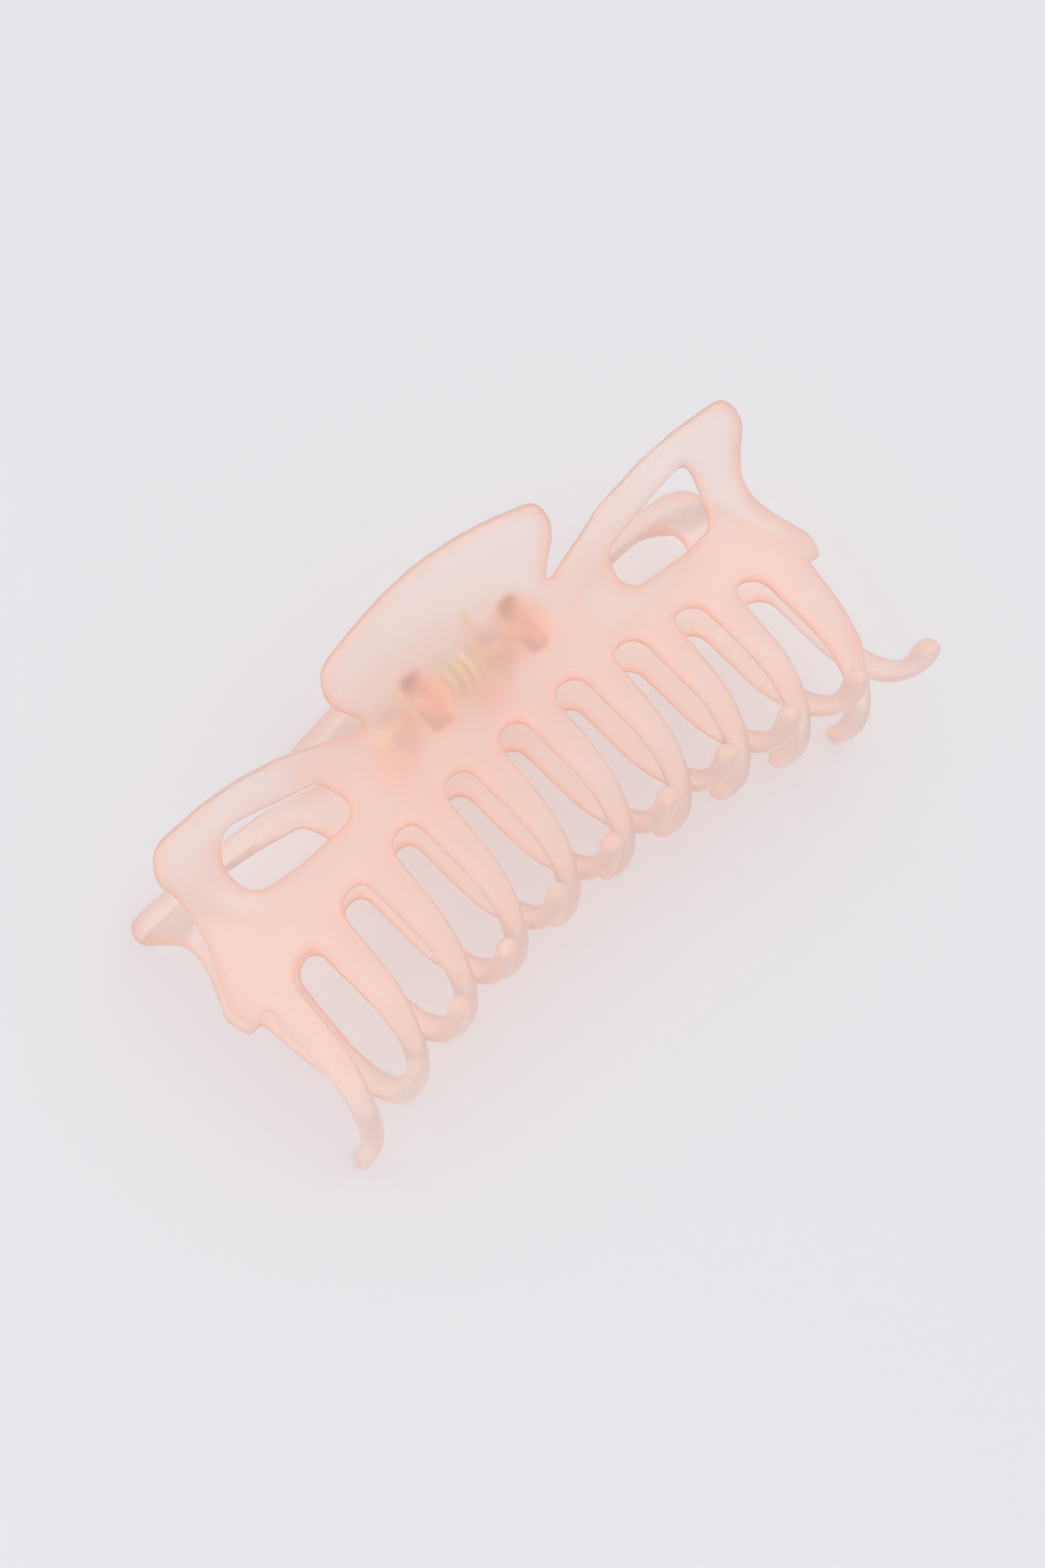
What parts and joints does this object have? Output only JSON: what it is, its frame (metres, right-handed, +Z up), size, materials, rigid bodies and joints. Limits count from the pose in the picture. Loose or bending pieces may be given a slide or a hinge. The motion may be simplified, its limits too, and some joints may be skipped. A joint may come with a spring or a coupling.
{
  "type": "claw clip",
  "caption": "Spring-closed hair claw clip: two moulded jaws with curved interleaving teeth and winged handles, hinged on a pin.",
  "frame": {"origin": "centre of the footprint on the surface that the closed clip lies on", "axes": "+X along the hinge, +Y from the teeth to the handles, +Z up from the surface"},
  "size_m": [0.1062, 0.055, 0.0406],
  "materials": {
    "jaw_plastic": "frosted translucent moulded plastic",
    "pin_steel": "drawn steel",
    "spring_steel": "drawn spring wire"
  },
  "bodies": {
    "lower_half": {"lower_jaw": "jaw_plastic", "hinge_pin": "pin_steel", "torsion_spring": "spring_steel"},
    "upper_half": {"upper_jaw": "jaw_plastic"}
  },
  "joints": [
    {"name": "jaw_hinge", "type": "hinge", "parent": "lower_half", "child": "upper_half", "pos_m": [0, 0.01408, 0.01935], "axis": [-1, 0, 0], "range_deg": [0, 100], "stiffness_Nm_per_rad": 0.1, "springref_deg": -57.3, "deforming": ["torsion_spring"]}
  ]
}
